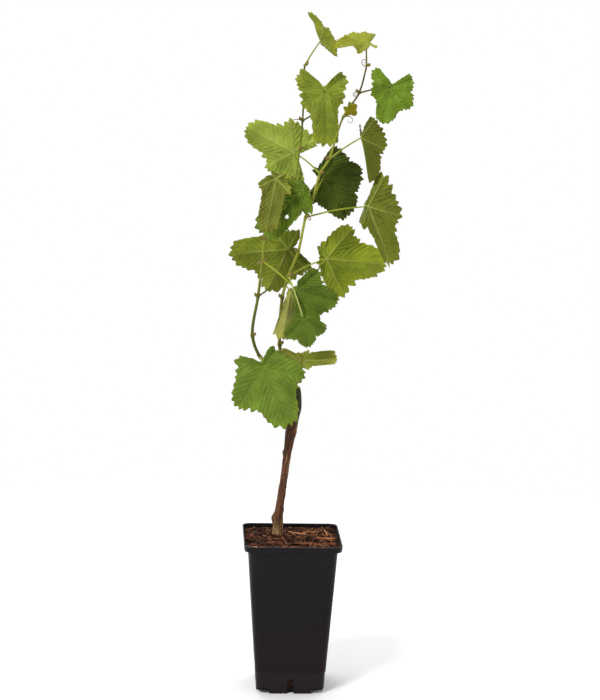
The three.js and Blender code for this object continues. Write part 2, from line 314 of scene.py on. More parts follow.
def spread(tree, value, low, high, to_low=0.0, to_high=1.0):
    """A value moved smoothly from one range to another, and held there."""
    inputs = {"Value": value, "From Min": low, "From Max": high, "To Min": to_low, "To Max": to_high}
    return add(tree, "ShaderNodeMapRange", inputs, interpolation_type="SMOOTHSTEP").outputs["Result"]


def tint(tree, share, first, second, how="MIX"):
    inputs = {0: share, 6: first, 7: second}
    for key in (6, 7):
        if isinstance(inputs[key], Vector):
            inputs[key] = (*inputs[key], 1)
    return add(tree, "ShaderNodeMix", inputs, data_type="RGBA", blend_type=how).outputs[2]


def object_place(tree):
    return add(tree, "ShaderNodeTexCoord").outputs["Object"]


def mottle(tree, vector, scale, detail=3.0, roughness=0.55):
    inputs = {"Vector": vector, "Scale": scale, "Detail": detail, "Roughness": roughness}
    return add(tree, "ShaderNodeTexNoise", inputs).outputs["Fac"]


def attribute_colour(tree, name):
    return add(tree, "ShaderNodeAttribute", attribute_name=name).outputs["Color"]


def shaded_tone(tree, name, shade):
    """The piece's own colour, made lighter or darker by a shade."""
    inputs = {0: attribute_colour(tree, name), "Scale": shade}
    return add(tree, "ShaderNodeVectorMath", inputs, operation="SCALE").outputs[0]


def dress(tree, surface, colour, roughness, shine):
    """Gives a surface its colour and its roughness, and how strongly it reflects."""
    tree.links.new(colour, surface.inputs["Base Color"])
    tree.links.new(roughness, surface.inputs["Roughness"])
    surface.inputs["Specular IOR Level"].default_value = shine


def relief(tree, surface, height, strength, distance):
    inputs = {"Height": height, "Strength": strength, "Distance": distance}
    bump = add(tree, "ShaderNodeBump", inputs)
    tree.links.new(bump.outputs["Normal"], surface.inputs["Normal"])


def stretched(tree, vector, scale):
    return add(tree, "ShaderNodeMapping", {"Vector": vector, "Scale": scale}).outputs["Vector"]


# ------------------------------------------------------------------ materials

def leaf_veins(tree):
    """Main, branch and net veins, then the distance to the net and to the branches.
    The map 'ribs' holds the way along and off the nearest main vein."""
    ribs = add(tree, "ShaderNodeUVMap", uv_map="ribs").outputs["UV"]
    split = add(tree, "ShaderNodeSeparateXYZ", {0: ribs})
    along, across = split.outputs[0], split.outputs[1]
    off = maths(tree, "ABSOLUTE", across)
    width = spread(tree, along, 0.0, 1.0, 0.0095, 0.0032)
    main = spread(tree, maths(tree, "DIVIDE", off, width), 0.35, 1.0, 1.0, 0.0)
    lean = maths(tree, "MULTIPLY", off, RIB["lean"])
    curve = maths(tree, "MULTIPLY", maths(tree, "MULTIPLY", off, off), RIB["curve"])
    start = maths(tree, "SUBTRACT", maths(tree, "SUBTRACT", along, lean), curve)
    side = maths(tree, "MULTIPLY", maths(tree, "GREATER_THAN", across, 0.0), 0.5)
    count = maths(tree, "ADD", maths(tree, "DIVIDE", start, RIB["period"]), side)
    apart = maths(tree, "PINGPONG", count, 0.5)
    branch_width = spread(tree, off, 0.0, 0.45, 0.055, 0.022)
    branch = spread(tree, maths(tree, "DIVIDE", apart, branch_width), 0.35, 1.0, 1.0, 0.0)
    wobble = add(tree, "ShaderNodeTexNoise", {"Vector": ribs, "Scale": 24.0, "Detail": 1.0})
    shift = {0: wobble.outputs["Color"], 1: (0.03, 0.03, 0.0)}
    shifted = add(tree, "ShaderNodeVectorMath", shift, operation="MULTIPLY")
    moved = add(tree, "ShaderNodeVectorMath", {0: ribs, 1: shifted.outputs[0]}, operation="ADD")
    net_place = {"Vector": moved.outputs[0], "Scale": 46.0}
    cells = add(tree, "ShaderNodeTexVoronoi", net_place, feature="DISTANCE_TO_EDGE")
    net = spread(tree, cells.outputs["Distance"], 0.02, 0.11, 1.0, 0.0)
    fine = maths(tree, "MAXIMUM", maths(tree, "MULTIPLY", branch, 0.5), maths(tree, "MULTIPLY", net, 0.16))
    return maths(tree, "MAXIMUM", main, fine), cells.outputs["Distance"], apart


def leaf_skin(name, tone_name, vein_colour, vein_share, swelling, roughness, shine):
    """Leaf skin with pale veins, sunk where the skin between them swells."""
    material, tree, surface = new_material(name)
    veins, net_distance, apart = leaf_veins(tree)
    place = object_place(tree)
    cloud = spread(tree, mottle(tree, place, 55.0), 0.3, 0.7, 0.84, 1.14)
    speck = spread(tree, mottle(tree, place, 700.0, 2.0), 0.3, 0.7, 0.93, 1.07)
    tone = shaded_tone(tree, tone_name, maths(tree, "MULTIPLY", cloud, speck))
    skin = tint(tree, maths(tree, "MULTIPLY", veins, vein_share), tone, vein_colour)
    gloss = spread(tree, mottle(tree, place, 160.0), 0.3, 0.7, roughness - 0.06, roughness + 0.1)
    dress(tree, surface, skin, gloss, shine)
    surface.inputs["Specular Tint"].default_value = (1.0, 1.0, 0.45, 1.0)
    height = maths(tree, "MULTIPLY", veins, -1.0 if swelling else 1.0)
    dome = maths(tree, "ADD", net_distance, maths(tree, "MULTIPLY", apart, 0.8))
    swell = maths(tree, "MULTIPLY", dome, swelling)
    grit = maths(tree, "MULTIPLY", mottle(tree, place, 1400.0, 2.0), 0.25)
    relief(tree, surface, maths(tree, "ADD", height, maths(tree, "ADD", grit, swell)), 0.8, 0.0007)
    return material


def stem_skin(name, roughness=0.5):
    """Young stem skin: the piece's own colour, with pale and dark streaks along it."""
    material, tree, surface = new_material(name)
    wrap = add(tree, "ShaderNodeUVMap", uv_map="wrap").outputs["UV"]
    stripes = mottle(tree, stretched(tree, wrap, (9.0, 26.0, 1.0)), 1.0, 3.0, 0.6)
    tone = shaded_tone(tree, "tone", spread(tree, stripes, 0.25, 0.75, 0.76, 1.26))
    specks = spread(tree, mottle(tree, object_place(tree), 900.0, 2.0), 0.64, 0.72)
    skin = tint(tree, maths(tree, "MULTIPLY", specks, 0.5), tone, paint(84, 62, 36))
    gloss = spread(tree, stripes, 0.2, 0.8, roughness - 0.1, roughness + 0.1)
    dress(tree, surface, skin, gloss, 0.25)
    surface.inputs["Specular Tint"].default_value = (1.0, 1.0, 0.5, 1.0)
    relief(tree, surface, stripes, 0.35, 0.0004)
    return material


def cane_bark():
    """Old bark: fibres that run up the cane, with reddish streaks and dark spots."""
    material, tree, surface = new_material("fibrous cane bark")
    wrap = add(tree, "ShaderNodeUVMap", uv_map="wrap").outputs["UV"]
    fibres = mottle(tree, stretched(tree, wrap, (16.0, 60.0, 1.0)), 1.0, 5.0, 0.7)
    streaks = mottle(tree, stretched(tree, wrap, (5.0, 22.0, 1.0)), 1.0, 3.0, 0.6)
    tone = shaded_tone(tree, "tone", spread(tree, fibres, 0.28, 0.72, 0.45, 1.55))
    ruddy = tint(tree, spread(tree, streaks, 0.5, 0.66, 0.0, 0.5), tone, paint(108, 62, 42))
    spots = spread(tree, mottle(tree, object_place(tree), 240.0), 0.56, 0.68, 0.0, 0.6)
    spotted = tint(tree, spots, ruddy, paint(48, 36, 30))
    dress(tree, surface, spotted, spread(tree, fibres, 0.2, 0.8, 0.95, 0.7), 0.1)
    relief(tree, surface, fibres, 0.8, 0.0012)
    return material


def earth(name, dark, pale, roughness=0.95, scale=260.0):
    """Crumbly ground: dark and pale lumps with a few reddish ones."""
    material, tree, surface = new_material(name)
    place = object_place(tree)
    lumps = mottle(tree, place, scale, 5.0, 0.7)
    base = tint(tree, spread(tree, lumps, 0.35, 0.68), dark, pale)
    reddish = spread(tree, mottle(tree, place, scale * 0.4, 3.0), 0.54, 0.7, 0.0, 0.5)
    mixed = tint(tree, reddish, base, paint(108, 58, 34))
    dress(tree, surface, mixed, spread(tree, lumps, 0.3, 0.7, roughness - 0.25, roughness), 0.08)
    relief(tree, surface, lumps, 0.9, 0.0015)
    return material


def wood_bits(name, colour, streak, scale):
    """Split wood and straw, with a level grain under the piece's own tone."""
    material, tree, surface = new_material(name)
    fibres = mottle(tree, stretched(tree, object_place(tree), (1.0, 1.0, 3.0)), scale, 4.0, 0.7)
    grained = tint(tree, spread(tree, fibres, 0.3, 0.7), colour, streak)
    toned = tint(tree, 1.0, grained, attribute_colour(tree, "tone"), "MULTIPLY")
    dress(tree, surface, toned, spread(tree, fibres, 0.2, 0.8, 0.6, 0.95), 0.12)
    relief(tree, surface, fibres, 0.6, 0.0006)
    return material


def pot_plastic():
    """Black plastic, dusty at its foot, with a painted highlight along the top of its rim, and finely
    drawn upwards.
    """
    material, tree, surface = new_material("black moulded plastic")
    place = object_place(tree)
    cloud = mottle(tree, place, 14.0, 3.0)
    base = tint(tree, spread(tree, cloud, 0.35, 0.65), paint(15, 14, 18), paint(20, 14, 16))
    up = add(tree, "ShaderNodeSeparateXYZ", {0: place}).outputs[2]
    warm = tint(tree, spread(tree, up, 0.03, 0.12, 0.7, 0.0), base, paint(28, 14, 14))
    low = spread(tree, up, 0.0255, 0.0285, 1.0, 0.0)
    dusty = tint(tree, maths(tree, "MULTIPLY", low, 0.6), warm, paint(34, 30, 33))
    dust = spread(tree, mottle(tree, place, 420.0, 4.0, 0.7), 0.6, 0.76, 0.0, 0.35)
    # painted highlight: a pale grey line round the top edge of the rim, where the gloss would catch the
    # light
    painted_rim_highlight = spread(tree, up, 0.1889, 0.1899, 0.0, 0.45)
    rim_highlighted_colour = tint(tree, painted_rim_highlight, dusty, paint(92, 86, 92))
    specked = tint(tree, dust, rim_highlighted_colour, paint(84, 74, 68))
    draws = mottle(tree, stretched(tree, place, (260.0, 260.0, 6.0)), 1.0, 3.0, 0.6)
    dress(tree, surface, specked, spread(tree, draws, 0.25, 0.75, 0.36, 0.54), 0.13)
    pebble = mottle(tree, place, 900.0, 2.0)
    relief(tree, surface, maths(tree, "ADD", maths(tree, "MULTIPLY", draws, 0.5), pebble), 0.12, 0.0004)
    return material


def pale_floor():
    material, tree, surface = new_material("pale studio floor")
    cloud = mottle(tree, object_place(tree), 3.0, 2.0)
    pale = tint(tree, cloud, paint(242, 242, 241), paint(250, 250, 250))
    tree.links.new(pale, surface.inputs["Base Color"])
    surface.inputs["Roughness"].default_value = 0.9
    return material


LEAF_UPPER = leaf_skin("leaf upper skin", "upper_tone", paint(160, 172, 76), 0.42, 1.0, 0.44, 0.3)
LEAF_UNDER = leaf_skin("leaf underside skin", "under_tone", paint(188, 196, 104), 0.6, 0.0, 0.6, 0.2)
LEAF_PUCKERED = leaf_skin("puckered leaf skin", "upper_tone", paint(150, 170, 88), 0.42, 2.6, 0.36, 0.42)
STEM = stem_skin("young stem skin")
BARK = cane_bark()
SOIL = earth("moist potting soil", paint(20, 12, 8), paint(64, 38, 24))
PEAT = wood_bits("peat crumbs", paint(44, 26, 16), paint(84, 48, 28), 400.0)
CHIP = wood_bits("bark chips", paint(84, 46, 30), paint(150, 88, 56), 300.0)
STRAW = wood_bits("straw fibres", paint(180, 112, 66), paint(226, 164, 116), 500.0)
PLASTIC = pot_plastic()


# ---------------------------------------------------------------------- limbs

def bend_between(before, start, end, after, share):
    """A point on the smooth curve from start to end, with an even pull at its ends."""
    first = max((start - before).length, 1e-9) ** 0.5
    second = max((end - start).length, 1e-9) ** 0.5
    third = max((after - end).length, 1e-9) ** 0.5
    leave = (start - before) / first - (end - before) / (first + second) + (end - start) / second
    arrive = (end - start) / second - (after - start) / (second + third) + (after - end) / third
    leave, arrive = leave * second, arrive * second
    square, cube = share * share, share ** 3
    return ((2 * cube - 3 * square + 1) * start + (cube - 2 * square + share) * leave
            + (3 * square - 2 * cube) * end + (cube - square) * arrive)


def smooth_path(points, count):
    """Evenly spaced points on the smooth curve through the given ones."""
    whole = [2 * points[0] - points[1], *points, 2 * points[-1] - points[-2]]
    dense = [points[0]]
    for index in range(len(points) - 1):
        dense += [bend_between(*whole[index:index + 4], step / 24) for step in range(1, 25)]
    run = [0.0]
    for near, far in zip(dense, dense[1:]):
        run.append(run[-1] + (far - near).length)
    even, index = [], 0
    for step in range(count + 1):
        wanted = run[-1] * step / count
        while index < len(run) - 2 and run[index + 1] < wanted:
            index += 1
        gap = max(run[index + 1] - run[index], 1e-9)
        even.append(dense[index].lerp(dense[index + 1], min((wanted - run[index]) / gap, 1)))
    return even, run[-1]


def angle_away(turn, angle):
    """The way from an angle to a turn, from minus a half turn to a half turn."""
    return (turn - angle + math.pi) % FULL_TURN - math.pi


def carried_axes(path, upright=False):
    """Two axes across the path at each point, carried along it without a twist."""
    axes, across = [], Vector((1, 0, 0))
    for index in range(len(path)):
        ahead = (path[min(index + 1, len(path) - 1)] - path[max(index - 1, 0)]).normalized()
        if upright and index == 0:
            ahead = Vector((0, 0, 1))
        across = (across - ahead * across.dot(ahead)).normalized()
        axes.append((across, ahead.cross(across)))
    return axes


def limb(name, points, radius, sides, rings, material, tone, upright=False):
    """A tapering round limb. radius and tone are functions of the share of its
    length, the angle round it and the place of that point of its middle line."""
    path, length = smooth_path(points, rings)
    axes = carried_axes(path, upright)
    work = bmesh.new()
    bmesh.ops.create_cone(work, cap_ends=True, segments=sides, radius1=1, radius2=1, depth=1)
    upright_edges = [e for e in work.edges if abs(e.verts[0].co.z - e.verts[1].co.z) > 0.5]
    bmesh.ops.subdivide_edges(work, edges=upright_edges, cuts=rings - 1, use_grid_fill=True)
    wrap = work.loops.layers.uv.new("wrap")
    colour = work.verts.layers.float_color.new("tone")
    turns = {vert: math.atan2(vert.co.y, vert.co.x) for vert in work.verts}
    steps = {vert: round((vert.co.z + 0.5) * rings) for vert in work.verts}
    for face in work.faces:
        for loop in face.loops:
            turn = turns[loop.vert]
            loop[wrap].uv = (turn / FULL_TURN, steps[loop.vert] / rings * length * 10)
        spans = [turns[loop.vert] for loop in face.loops]
        if max(spans) - min(spans) > math.pi and len(face.verts) == 4:
            for loop in face.loops:
                if turns[loop.vert] < 0:
                    loop[wrap].uv = ((turns[loop.vert] + FULL_TURN) / FULL_TURN, loop[wrap].uv.y)
    for vert in work.verts:
        turn, step = turns[vert], steps[vert]
        share, centre = step / rings, path[step]
        size = radius(share, turn, centre)
        first, second = axes[step]
        vert[colour] = (*tone(share, turn, centre), 1)
        vert.co = centre + (first * math.cos(turn) + second * math.sin(turn)) * size
    bmesh.ops.recalc_face_normals(work, faces=work.faces)
    return finish_mesh(work, name, [material])


def rounded_end(share, start, end):
    """A factor that rounds off a limb's start or end over these shares of its length."""
    near = min(share / start, 1) if start else 1
    far = min((1 - share) / end, 1) if end else 1
    return max(math.sqrt(near * (2 - near)) * math.sqrt(far * (2 - far)), 0.12)


# ----------------------------------------------------------------------- cane

CANE_KNOBS = [  # angle round it, height, half width, rise
    (math.radians(185), 206, 6, 3.4),
    (math.radians(160), 289, 3.2, 1.8),
    (math.radians(-60), 262, 5, 0.7),
    (math.radians(70), 238, 6, 0.9),
    (math.radians(20), 347, 9, 1.0),
    (math.radians(-120), 356, 8, 1.1),
]


def cane_radius(share, turn, centre):
    height = centre.z / MM
    size = read_off(CANE["radii"], share)
    for angle, level, width, rise in CANE_KNOBS:
        away = angle_away(turn, angle)
        size += rise * math.exp(-((height - level) / width) ** 2 - (away * size / width) ** 2)
    around = Vector((math.cos(turn), math.sin(turn), 0))
    fibre = noise.noise(around * 5 + Vector((0, 0, height * 0.035)))
    ridge = 1 - abs(noise.noise(around * 9 + Vector((4, 2, height * 0.06)))) * 2
    lump = noise.noise(around * 1.4 + Vector((1, 7, height * 0.045)))
    size += 0.3 * fibre + 0.28 * ridge + 0.35 * lump - 0.3
    return size * MM * rounded_end(share, 0, 0.02)


def cane_tone(share, turn, centre):
    """Tan at its foot, then brown in dark and ruddy threads, with a grey-green head."""
    height = centre.z / MM
    brown = mix(paint(104, 76, 58), paint(76, 58, 48), ease(*CANE["fading"], height))
    around = Vector((math.cos(turn), math.sin(turn), 0))
    thread = noise.noise(around * 8 + Vector((2, 5, height * 0.05)))
    brown = mix(brown, paint(134, 84, 50), 0.7 * ease(0.02, 0.3, thread))
    brown = mix(brown, paint(52, 38, 40), 0.7 * ease(-0.05, -0.35, thread))
    tan = mix(paint(156, 124, 84), paint(78, 52, 34), ease(-0.05, 0.35, thread))
    tan = mix(tan, paint(194, 172, 124), 0.7 * ease(-0.1, -0.4, thread))
    grey_green = paint(62, 68, 50)
    colour = mix(tan, brown, ease(*CANE["bare_foot"], height + 5 * math.sin(3 * turn)))
    colour = mix(colour, grey_green, ease(*CANE["green_head"], height))
    knob_angle, knob_level = CANE_KNOBS[0][:2]
    away = angle_away(turn, knob_angle)
    dark = math.exp(-((height - knob_level) / 5) ** 2 - (away / 0.6) ** 2)
    return mix(colour, paint(44, 28, 20), 0.9 * dark)


def make_cane():
    points = [metres(p) for p in CANE["points"]]
    points[0].z = (SOIL_TOP - 2.5) * MM
    piece = limb("old_cane", points, cane_radius, *LIMB_MESH["cane"], BARK, cane_tone, upright=True)
    return belongs(piece, "cane", "cane")


def make_peeling_bark(chance):
    """Thin strips of bark that lift off the cane at one end."""
    points = [metres(p) for p in CANE["points"]]
    path, _ = smooth_path(points, PEEL["steps"])
    axes = carried_axes(path, True)
    work = bmesh.new()
    colour = work.verts.layers.float_color.new("tone")
    wrap = work.loops.layers.uv.new("wrap")
    for _ in range(PEEL["strips"]):
        start = chance.randrange(*PEEL["start"])
        length = chance.randrange(*PEEL["length"])
        turn = chance.uniform(0, FULL_TURN)
        lift = chance.uniform(*PEEL["lift"])
        width = chance.uniform(*PEEL["width"])
        flip = chance.random() < 0.5
        made = bmesh.ops.create_grid(work, x_segments=1, y_segments=14, size=1)
        shade = paint(*chance.choice(PEEL["tones"]))
        for vert in made["verts"]:
            share = (vert.co.y + 1) / 2
            index = min(start + round(share * length), len(path) - 1)
            first, second = axes[index]
            free = (1 - share) if flip else share
            taper = math.sin(math.pi * min(max(share, 0.04), 0.96))
            angle = turn + vert.co.x * width * taper / 5
            skin = cane_radius(index / PEEL["steps"], angle, path[index])
            reach = skin + (PEEL["off"] + lift * free ** 3) * MM
            vert.co = path[index] + (first * math.cos(angle) + second * math.sin(angle)) * reach
            vert[colour] = (*shade, 1)
        for face in {f for vert in made["verts"] for f in vert.link_faces}:
            for loop in face.loops:
                loop[wrap].uv = (turn / FULL_TURN, loop.vert.co.z * 10)
    piece = finish_mesh(work, "peeling_bark", [BARK])
    shell = piece.modifiers.new("bark thickness", "SOLIDIFY")
    shell.thickness = PEEL["thickness"] * MM
    return belongs(piece, "cane")


# --------------------------------------------------------------------- shoots

SHOOT_TONES = {  # at its foot, in the middle and at its tip
    "left": ((70, 82, 26), (130, 140, 44), (66, 64, 32)),
    "right": ((80, 86, 30), (148, 156, 46), (74, 66, 36)),
}


def shoot_colour(side, share):
    foot, middle, tip = (paint(*tone) for tone in SHOOT_TONES[side])
    return mix(mix(foot, middle, ease(0.2, 0.5, share)), tip, ease(0.7, 0.92, share))


def make_shoot(side, chance):
    nodes = [metres(p) for p in SHOOTS[side]]
    swell = [chance.uniform(0.28, 0.5) for _ in nodes]

    def nearness(centre):
        return max((rise * math.exp(-((centre - node).length / (2.6 * MM)) ** 2), rise)
                   for node, rise in zip(nodes[1:], swell))

    def radius(share, turn, centre):
        size = mix(*SHOOT_RADIUS, share)
        bump, _ = nearness(centre)
        groove = 1 + 0.035 * math.cos(5 * turn + share * 9) + 0.03 * grain(centre, 160, 3)
        return size * MM * (1 + bump) * groove * rounded_end(share, 0, 0.006)

    def tone(share, turn, centre):
        colour = shoot_colour(side, share)
        # painted light: each shoot is paler on one side, as if lit from there. It is also a little browner
        # on the side facing away.
        painted_lit_side = 0.5 + 0.5 * math.cos(turn - 2.2)
        colour = mix(colour, mix(colour, paint(190, 196, 84), 0.3), painted_lit_side)
        colour = mix(colour, paint(92, 66, 30), 0.14 * (0.5 + 0.5 * math.cos(turn + 0.8)))
        bump, rise = nearness(centre)
        return mix(colour, paint(104, 92, 36), 0.45 * bump / rise)

    piece = limb(f"{side}_shoot", nodes, radius, *LIMB_MESH["shoot"], STEM, tone)
    return belongs(piece, "shoot", f"shoot_{side}")


# --------------------------------------------------------------------- stalks

def stalk_points(leaf):
    side, node = leaf["from"]
    start, end = metres(SHOOTS[side][node]), metres(leaf["joint"])
    middle = start.lerp(end, 0.5)
    middle.z += leaf.get("bow", STALK_BOW) * (end - start).length
    return [start, middle, end]


def make_stalk(name, leaf, chance):
    length = (metres(leaf["joint"]) - metres(SHOOTS[leaf["from"][0]][leaf["from"][1]])).length
    green, ruddy = paint(*leaf.get("stalk", (146, 156, 48))), paint(104, 84, 40)
    blush = chance.uniform(0.0, 0.35)

    def radius(share, turn, centre):
        size = mix(*STALK_RADIUS, share)
        foot = 0.9 * math.exp(-(share * length / (2.2 * MM)) ** 2)
        head = 0.35 * math.exp(-((1 - share) * length / (1.8 * MM)) ** 2)
        groove = 1 - 0.12 * max(math.cos(turn - 1.57), 0) ** 6
        return size * MM * (1 + foot + head) * groove * rounded_end(share, 0, 0.02)

    def tone(share, turn, centre):
        colour = mix(green, ruddy, blush * (0.5 + 0.5 * math.cos(turn + 1.2)))
        return mix(colour, paint(104, 92, 40), 0.5 * math.exp(-(share * length / (2.5 * MM)) ** 2))

    piece = limb(f"{name}_petiole", stalk_points(leaf), radius, *LIMB_MESH["stalk"], STEM, tone)
    return belongs(piece, "shoot", f"stalk_{name}")


# --------------------------------------------------------------------- leaves

def lobed_edge(reaches):
    """Corners of the edge as angle and reach: lobes with shoulders, dips and the notch."""
    corners = [(-LOBES["notch_turn"], LOBES["notch"])]
    for index, (turn, reach) in enumerate(zip(LOBES["turns"], reaches)):
        if index:
            middle = (LOBES["turns"][index - 1] + turn) / 2
            corners.append((middle, LOBES["dip"] * math.sqrt(reaches[index - 1] * reach)))
        corners.append((turn - LOBES["shoulder"], LOBES["fall"] * reach))
        corners.append((turn, reach))
        corners.append((turn + LOBES["shoulder"], LOBES["fall"] * reach))
    corners.append((LOBES["notch_turn"], LOBES["notch"]))
    return corners


def leaf_outline(leaf, step, chance):
    """The toothed edge from the notch round the left half and back, in midribs."""
    corners = []
    for angle, reach in lobed_edge(leaf["lobes"]):
        turn = math.radians(angle)
        corners.append(Vector((math.sin(turn) * reach, math.cos(turn) * reach)))
    outline, run, tooth_start = [], 0.0, 0.0
    tooth_length = chance.uniform(TOOTH["shortest"], TOOTH["longest"])
    for start, end in zip(corners, corners[1:] + corners[:1]):
        span = end - start
        outward = Vector((-span.y, span.x)).normalized()
        steps = max(2, round(span.length / step))
        for index in range(steps):
            share = index / steps
            point = start + span * share
            point = point * (1 + 4 * BLADE["bulge"] * share * (1 - share))
            while run > tooth_start + tooth_length:
                tooth_start += tooth_length
                tooth_length = chance.uniform(TOOTH["shortest"], TOOTH["longest"])
            spot = (run - tooth_start) / tooth_length
            peak = TOOTH["peak"]
            rise = spot / peak if spot < peak else (1 - spot) / (1 - peak)
            tall = TOOTH["height"] * (tooth_length / TOOTH["longest"]) * (rise ** 0.85 - 0.45)
            facing = max(outward.dot(point.normalized()), 0) if point.length > 0.12 else 0
            outline.append(point + point.normalized() * tall * facing)
            run += span.length / steps
    return outline


def nearest_vein(flat):
    """The nearest main vein's angle, and the way along it and off it, at a flat point."""
    turn = math.atan2(flat.x, flat.y)
    aways = []
    for angle in LOBES["turns"]:
        away = angle_away(turn, math.radians(angle))
        aways.append((abs(away), away, math.radians(angle)))
    _, away, vein = min(aways)
    return vein, flat.length * math.cos(away), flat.length * math.sin(away)


def pucker(leaf, flat, share, seed):
    """Height of the blade off its flat shape: pleats along the main veins, domes
    between the branch veins, a wavy rim and lobes that curl down."""
    _, along, across = nearest_vein(flat)
    off = abs(across)
    main = -0.010 * math.exp(-(off / 0.014) ** 2) * (1 - 0.5 * share)
    valley = 1 - math.exp(-(off / 0.13) ** 1.5)
    pleat = leaf.get("pleat", BLADE["pleat"]) * valley * ease(0.05, 0.5, share)
    count = (along - RIB["lean"] * off - RIB["curve"] * off * off) / RIB["period"] + (across > 0) * 0.5
    dome = math.sin(math.pi * count) ** 2 * ease(0.0, 0.07, off) * leaf.get("quilt", BLADE["quilt"])
    wide = 0.06 * noise.noise(Vector((flat.x * 2.3 + seed, flat.y * 2.3, seed * 0.7)))
    fine = 0.006 * noise.noise(Vector((flat.x * 14, flat.y * 14 + seed, 3)))
    turn = math.atan2(flat.x, flat.y)
    ripples = math.sin(5 * turn + seed * 2.1) + 0.7 * math.sin(11 * turn + seed)
    wave = BLADE["wave"] * share ** 2 * ripples
    curl = -BLADE["curl"] * ease(0.55, 1.0, share) * along * ease(0.0, 0.3, 0.3 - off)
    return main + pleat + dome + fine + curl + (wide + wave) * ease(0.1, 0.6, share)


def bent(leaf, size, flat, height):
    """Folds the halves about the midrib and curls the blade down to its tip."""
    fold = math.radians(leaf["fold"][1 if flat.x < 0 else 0])
    crease = BLADE["crease"] * MM / size
    lift = math.hypot(flat.x, crease) - crease
    across = flat.x * math.cos(fold)
    raised = height + lift * math.sin(fold)
    droop = math.radians(leaf.get("droop", BLADE["droop"]))
    bow = 1 / droop
    angle = flat.y * droop
    shape = Vector((across, (bow + raised) * math.sin(angle), (bow + raised) * math.cos(angle) - bow))
    return Matrix.Rotation(droop / 2, 3, "X") @ shape


def blade_frame(leaf):
    """The end of a leaf's stalk, the axes of its blade and the length of its midrib."""
    joint, tip = metres(leaf["joint"]), metres(leaf["tip"])
    along = tip - joint
    chord = along.length
    along.normalize()
    outward = Vector((0, -1, 0))
    outward = (outward - along * outward.dot(along)).normalized()
    outward = Matrix.Rotation(math.radians(leaf["turn"]), 3, along) @ outward
    right = along.cross(outward)
    droop = math.radians(leaf.get("droop", BLADE["droop"]))
    size = chord / (2 * math.sin(droop / 2) / droop)
    axes = Matrix((right, along, outward)).transposed()
    return joint, axes, size


def spin_blade(work, outline, rings):
    """A flat disc spun to the leaf's outline. Gives each point's place on the flat
    blade and its share of the way to the rim."""
    columns = len(outline)
    spokes = [work.verts.new((0, index / rings, 0)) for index in range(rings + 1)]
    edges = [work.edges.new(pair) for pair in zip(spokes, spokes[1:])]
    bmesh.ops.spin(work, geom=spokes + edges, cent=(0, 0, 0), axis=(0, 0, 1), dvec=(0, 0, 0),
                   angle=FULL_TURN, steps=columns, use_merge=True)
    bmesh.ops.remove_doubles(work, verts=work.verts, dist=1e-6)
    places = {}
    for vert in work.verts:
        share = vert.co.length
        column = round((math.atan2(vert.co.x, vert.co.y) % FULL_TURN) / FULL_TURN * columns) % columns
        places[vert] = (outline[column] * share ** 0.85, share)
        vert.co = (*places[vert][0], 0)
    work.normal_update()
    if sum(face.normal.z * face.calc_area() for face in work.faces) < 0:
        bmesh.ops.reverse_faces(work, faces=work.faces)
    return places


def tear_hole(work, angle, reach):
    turn = math.radians(angle)
    hole = Vector((math.sin(turn) * reach, math.cos(turn) * reach, 0))
    torn = [f for f in work.faces if (f.calc_center_median() - hole).length < BLADE["hole"]]
    bmesh.ops.delete(work, geom=torn, context="FACES")


def map_ribs(work, ribs, places):
    """Lays each face's map along and off the main vein nearest to its middle."""
    for face in work.faces:
        middle = face.calc_center_median()
        vein = nearest_vein(Vector((middle.x, middle.y)))[0]
        for loop in face.loops:
            flat = places[loop.vert][0]
            away = math.atan2(flat.x, flat.y) - vein
            loop[ribs].uv = (flat.length * math.cos(away), flat.length * math.sin(away))


def mottled(plain, flat, share, seed):
    """A leaf's plain colour with seeded mottling, a little warmer at the rim."""
    spot = Vector((flat.x * 3, flat.y * 3, seed * 1.7))
    tone = 1 + 0.14 * noise.noise(spot) + 0.08 * noise.noise(spot * 3.1)
    rim = ease(0.8, 1.0, share) * 0.16
    warm = Vector((1 + rim, 1 + rim * 0.4, 1 - rim))
    return (*(Vector(a * b for a, b in zip(plain, warm)) * tone), 1)


def make_leaf(name, leaf, seed):
    joint, axes, size = blade_frame(leaf)
    small = size < SMALL_LEAF["below"] * MM
    step = BLADE["step"] * (SMALL_LEAF["coarser"] if small else 1)
    outline = leaf_outline(leaf, step, random.Random(seed))
    work = bmesh.new()
    ribs = work.loops.layers.uv.new("ribs")
    upper = work.verts.layers.float_color.new("upper_tone")
    under = work.verts.layers.float_color.new("under_tone")
    places = spin_blade(work, outline, BLADE["rings"] // (2 if small else 1))
    if "hole" in leaf:
        tear_hole(work, *leaf["hole"])
    for loose in [vert for vert in work.verts if not vert.link_faces]:
        work.verts.remove(loose)
    map_ribs(work, ribs, places)
    top, below = paint(*leaf["upper"]), paint(*leaf["under"])
    for vert in work.verts:
        flat, share = places[vert]
        height = pucker(leaf, flat, share, seed)
        vert.co = joint + axes @ (bent(leaf, size, flat, height) * size)
        vert[upper] = mottled(top, flat, share, seed)
        vert[under] = mottled(below, flat, share, seed)
    top_skin = LEAF_PUCKERED if leaf.get("skin") == "puckered" else LEAF_UPPER
    piece = finish_mesh(work, f"{name}_blade", [top_skin, LEAF_UNDER])
    shell = piece.modifiers.new("leaf thickness", "SOLIDIFY")
    shell.thickness = BLADE["thickness"] * MM
    shell.offset = -1
    shell.material_offset = 1
    return belongs(piece, "leaf", *([f"leaf_{name}"] if "from" in leaf else []))


# ------------------------------------------------------------ buds and tendrils

BUD = {"length": (4.5, 6.5), "width": (1.7, 2.1), "offset": 3.0, "tone": (128, 110, 54)}
TENDRIL_NODES = (("right", 12), ("right", 11), ("right", 10), ("left", 10), ("right", 6), ("left", 5))
TENDRIL = {
    "length": (14, 30), "turns": (0.4, 1.6), "thick": 0.6, "thin": 0.25, "points": 12,
    "foot": (124, 104, 60), "tip": (160, 124, 110),
}


